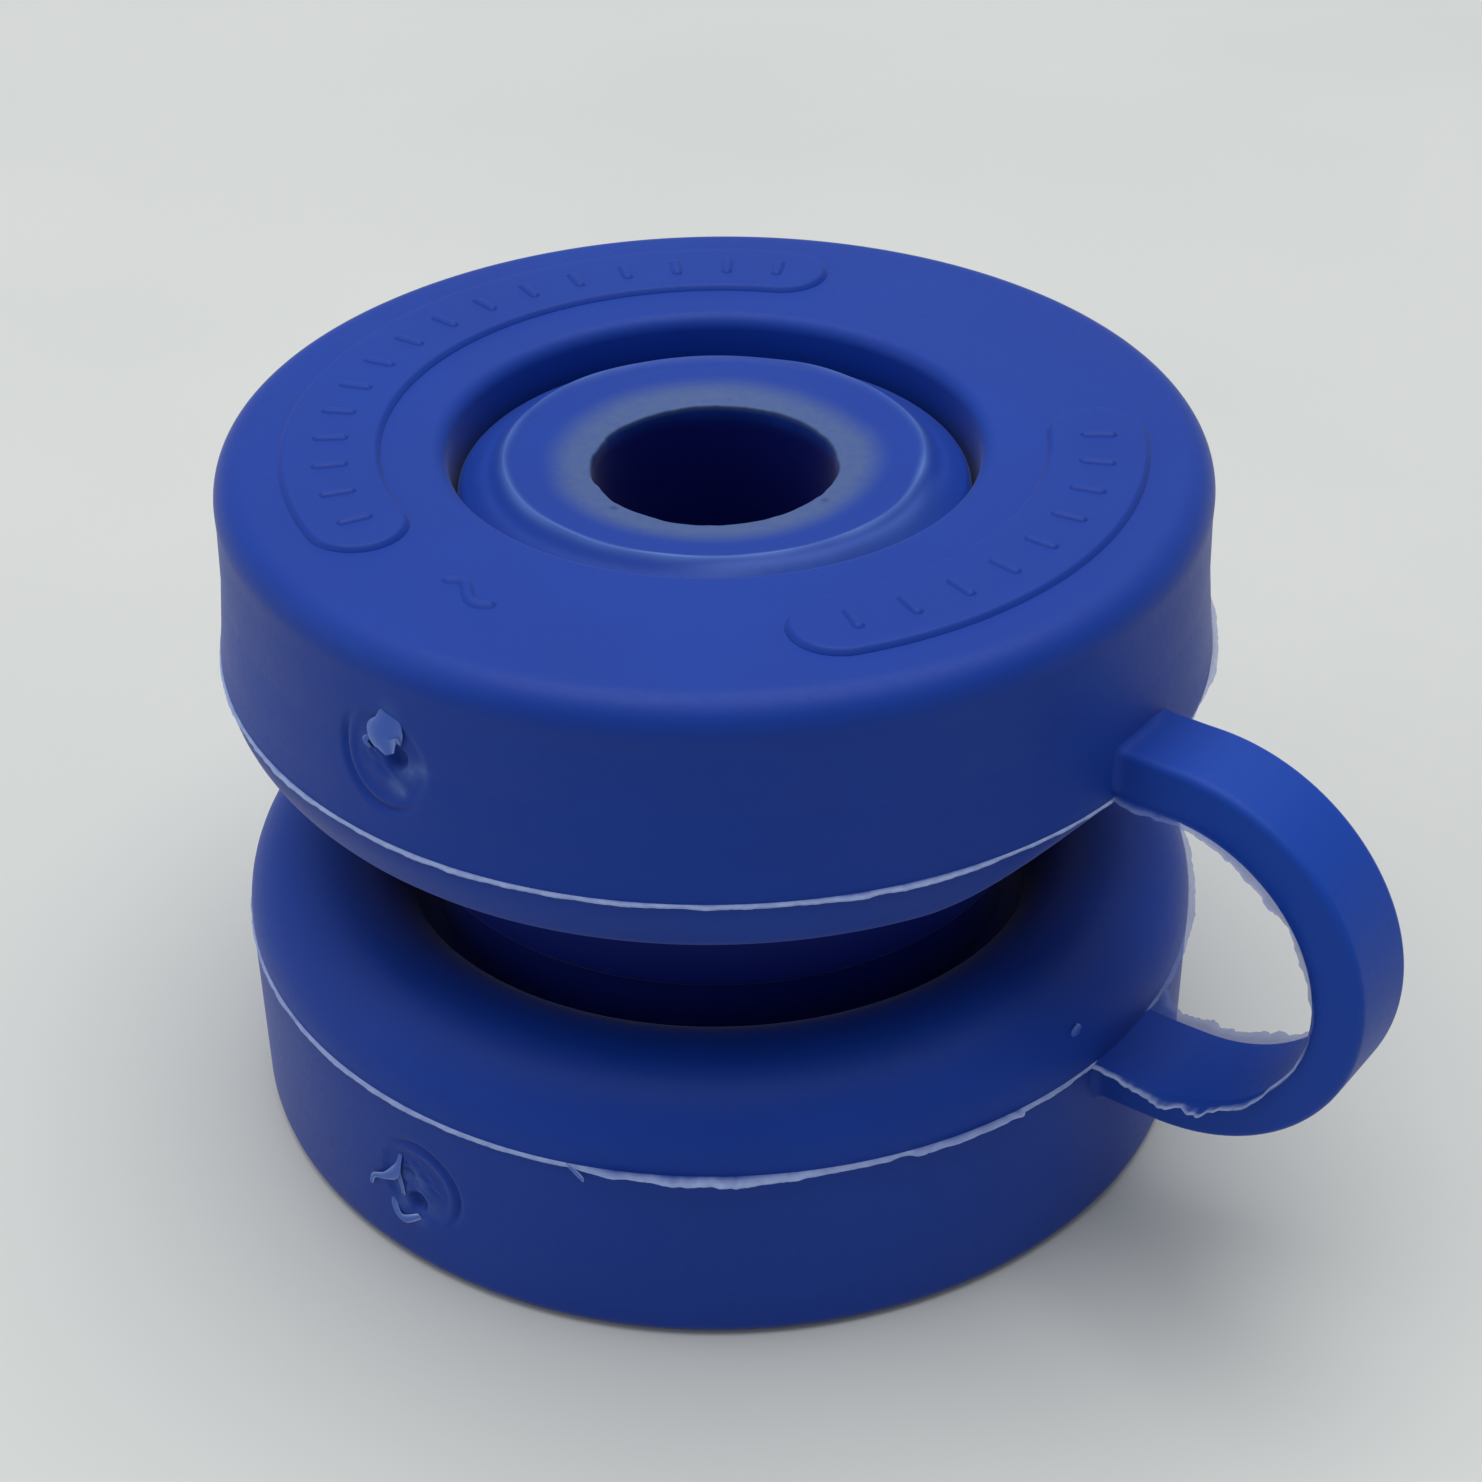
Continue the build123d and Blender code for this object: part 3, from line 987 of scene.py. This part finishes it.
strap_fin("strap_near_flash", -1, [
    (0, 0.2), (0.06, 0.45), (0.14, 0.85), (0.2, 1.0), (0.28, 0.8), (0.36, 0.35),
    (0.5, 0.4), (0.6, 0.6), (0.7, 0.85), (0.82, 0.6), (0.9, 0.5), (1, 0.3),
], 0.22, 0.40, 71)
strap_fin("strap_far_flash", 1, [
    (0, 2.2), (0.05, 1.4), (0.12, 1.25), (0.3, 0.95), (0.45, 0.5), (0.8, 0.3), (1, 0.2),
], 0.5, -0.1, 81)


# ---------------------------------------------------------------- torn gate marks

CURVE_STEPS = 8


def smooth_line(points):
    """A Catmull-Rom curve through points."""
    points = np.array(points, float)
    padded = np.vstack([2 * points[0] - points[1], points, 2 * points[-1] - points[-2]])
    line = []
    for index in range(len(points) - 1):
        a, b, c, d = padded[index:index + 4]
        for t in np.arange(CURVE_STEPS) / CURVE_STEPS:
            square_term = (2 * a - 5 * b + 4 * c - d) * t * t
            cube_term = (3 * b - a - 3 * c + d) * t ** 3
            line.append(0.5 * (2 * b + (c - a) * t + square_term + cube_term))
    return np.array(line + [points[-1]])


def shred(path, place, thickness, seed):
    """A torn sliver on a wall, and how pale it is at each point: most at its edges and far end.

    path is a list of (along, up, out, width) from a place (angle, radius, z) on the wall.
    """
    base_angle, base_radius, base_z = place
    line = smooth_line(path)
    ahead = np.gradient(line[:, :3], axis=0)
    ahead /= np.linalg.norm(ahead, axis=1)[:, None]
    across = np.cross(ahead, (0, 0, 1))
    across /= np.maximum(np.linalg.norm(across, axis=1), 1e-6)[:, None]
    lift = np.cross(across, ahead)
    turns = np.radians(np.arange(0, 360, 22.5))
    along = along_path(line)
    uneven = 1 + 0.16 * wander(along[:, None] + 3 * np.cos(turns)[None], 0.6, seed)
    half_width = 0.5 * line[:, 3, None] * np.cos(turns) * uneven
    half_thickness = 0.5 * thickness * np.sin(turns) * np.ones_like(uneven)
    widthways = across[:, None] * half_width[..., None]
    thickways = lift[:, None] * half_thickness[..., None]
    local = line[:, None, :3] + widthways + thickways
    radius = base_radius + local[..., 2]
    turn = math.radians(base_angle) + local[..., 0] / base_radius
    points = np.stack([radius * np.cos(turn), radius * np.sin(turn), base_z + local[..., 1]], -1)
    pale = np.abs(np.cos(turns)) ** 3 * np.linspace(0.1, 1, len(line))[:, None]
    return grid(points, False, True, capped=True), np.concatenate([pale.ravel(), [0.1, 1]])


def torn_bits(name, place, paths, body, thickness, palest, seed):
    """Several slivers as one piece."""
    made = [shred(path, place, thickness, seed + number) for number, path in enumerate(paths)]
    pale = np.concatenate([values for _, values in made])
    thinness = {"thin": palest * (0.15 + 0.85 * pale)}
    bits = piece(name, joined([shape for shape, _ in made]), SLIVER, thinness)
    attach(bits, body)
    return bits


upper_gate_radius = wall_radius(UPPER_GATE_Z, UPPER_FLASH_Z, RING_TOP_Z)
lower_gate_radius = wall_radius(LOWER_GATE_Z, LOWER_FLASH_Z, 0)
UPPER_GATE_PLACE = (GATE_ANGLE, upper_gate_radius, UPPER_GATE_Z)
LOWER_GATE_PLACE = (GATE_ANGLE, lower_gate_radius, LOWER_GATE_Z)
upper_tear = torn_bits("upper_gate_tear", UPPER_GATE_PLACE, [
    [(0.5, 2.4, -0.12, 1.1), (0.35, 1.9, -0.04, 1.5), (0.12, 1.3, 0.08, 1.75),
     (0.3, 0.9, 0.14, 1.25), (0.5, 0.55, 0.18, 0.6)],
    [(0.3, -0.3, -0.25, 0.2), (0.15, -0.9, -0.1, 0.3), (0.6, -1.15, -0.07, 0.24), (1.15, -1.4, -0.09, 0.12)],
    [(-0.8, 0.9, -0.15, 0.2), (-1.15, 0.55, -0.03, 0.3), (-0.95, 0.2, -0.1, 0.15)],
], "ring_half", 0.10, 0.55, 91)
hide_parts("upper_gate_stub")
lower_tear = torn_bits("lower_gate_tear", LOWER_GATE_PLACE, [
    [(-1.05, 1.4, -0.08, 0.2), (-1.2, 0.8, 0.0, 0.32), (-1.45, 0.1, 0.06, 0.6), (-2.1, -0.45, 0.12, 0.42),
     (-2.95, -0.9, 0.14, 0.28), (-3.3, -1.6, 0.08, 0.2)],
    [(-1.35, 0.3, -0.05, 0.35), (-1.15, -0.4, 0.0, 0.3), (-1.1, -1.2, -0.08, 0.2)],
    [(-1.85, -1.7, -0.10, 0.3), (-1.7, -2.4, 0.0, 0.5), (-1.1, -2.75, 0.05, 0.5), (-0.1, -2.1, -0.04, 0.3)],
], "post_half", 0.10, 0.85, 95)
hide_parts("lower_gate_stub")
torn_bits("lower_flash_hook", (-69.0, FLASH_RADIUS, LOWER_FLASH_Z), [
    [(-0.5, 0.0, 0.0, 0.2), (-0.1, -0.05, 0.2, 0.24), (0.3, -0.35, 0.32, 0.22), (0.35, -0.7, 0.2, 0.12)],
], "post_half", 0.08, 1.0, 101)
torn_bits("moulding_speck", (-8.0, 24.0, 12.5), [
    [(-0.3, -0.14, -0.04, 0.35), (0.0, 0.0, 0.02, 0.6), (0.3, 0.14, -0.04, 0.35)],
], "post_half", 0.3, 0.35, 103)


# ---------------------------------------------------------------- floor, lights and camera

VIEW_AZIMUTH = 36.8


def towards(azimuth, elevation):
    """The unit direction from the object to where a camera at that azimuth would stand.

    Azimuth 0 is on the -Y side, and it grows towards +X.
    """
    turn = math.radians(azimuth)
    rise = math.radians(elevation)
    flat = math.cos(rise)
    return Vector((math.sin(turn) * flat, -math.cos(turn) * flat, math.sin(rise)))


def pale_surface():
    """A plain pale surface with a faint cloudiness."""
    material, tree, shader = blank_material("pale_surface")
    place = node(tree, "ShaderNodeTexCoord").outputs["Object"]
    clouds = noise(tree, place, 14.0, 3.0)
    dull = (0.535, 0.55, 0.54, 1)
    clean = (0.57, 0.58, 0.565, 1)
    colour = mixed(tree, ranged(tree, clouds, 0.3, 0.7, 0.0, 1.0), dull, clean)
    tree.links.new(colour, shader.inputs["Base Color"])
    tree.links.new(ranged(tree, clouds, 0.3, 0.7, 0.5, 0.6), shader.inputs["Roughness"])
    return material


bpy.ops.mesh.primitive_plane_add(size=6.0)
floor = bpy.context.object
floor.name = "floor"
floor.data.materials.append(pale_surface())


def area_light(name, azimuth, elevation, distance, size, power, colour):
    """A soft round light that looks at the object."""
    data = bpy.data.lights.new(name, "AREA")
    data.shape = "DISK"
    data.size = size
    data.energy = power
    data.color = colour
    made = bpy.data.objects.new(name, data)
    made.location = towards(azimuth, elevation) * distance
    made.rotation_euler = towards(azimuth, elevation).to_track_quat("Z", "Y").to_euler()
    bpy.context.scene.collection.objects.link(made)


area_light("ceiling_light", VIEW_AZIMUTH - 185, 83, 1.1, 1.3, 12.6, (1.0, 1.0, 0.985))
area_light("window_light", VIEW_AZIMUTH - 85, 28, 1.0, 0.9, 1.6, (0.97, 0.99, 1.0))

world = bpy.data.worlds.new("soft_room")
bpy.context.scene.world = world
world.use_nodes = True
background = world.node_tree.nodes["Background"]
background.inputs["Color"].default_value = (0.93, 0.97, 1.0, 1)
background.inputs["Strength"].default_value = 0.40

CAMERA_PLACE = Vector((75.98, -99.64, 102.7)) * MM
CAMERA_TARGET = Vector((0.92, 0.69, 18.0)) * MM
CAMERA_ROLL = -0.573
camera_data = bpy.data.cameras.new("camera")
camera_data.sensor_width = 36
camera_data.lens = 71.2
camera_data.clip_start = 0.01
camera = bpy.data.objects.new("camera", camera_data)
camera.location = CAMERA_PLACE
aim = (CAMERA_PLACE - CAMERA_TARGET).to_track_quat("Z", "Y").to_matrix().to_4x4()
roll = Matrix.Rotation(math.radians(CAMERA_ROLL), 4, "Z")
camera.matrix_world = Matrix.Translation(CAMERA_PLACE) @ aim @ roll
bpy.context.scene.collection.objects.link(camera)
bpy.context.scene.camera = camera
bpy.context.scene.view_settings.view_transform = "Standard"
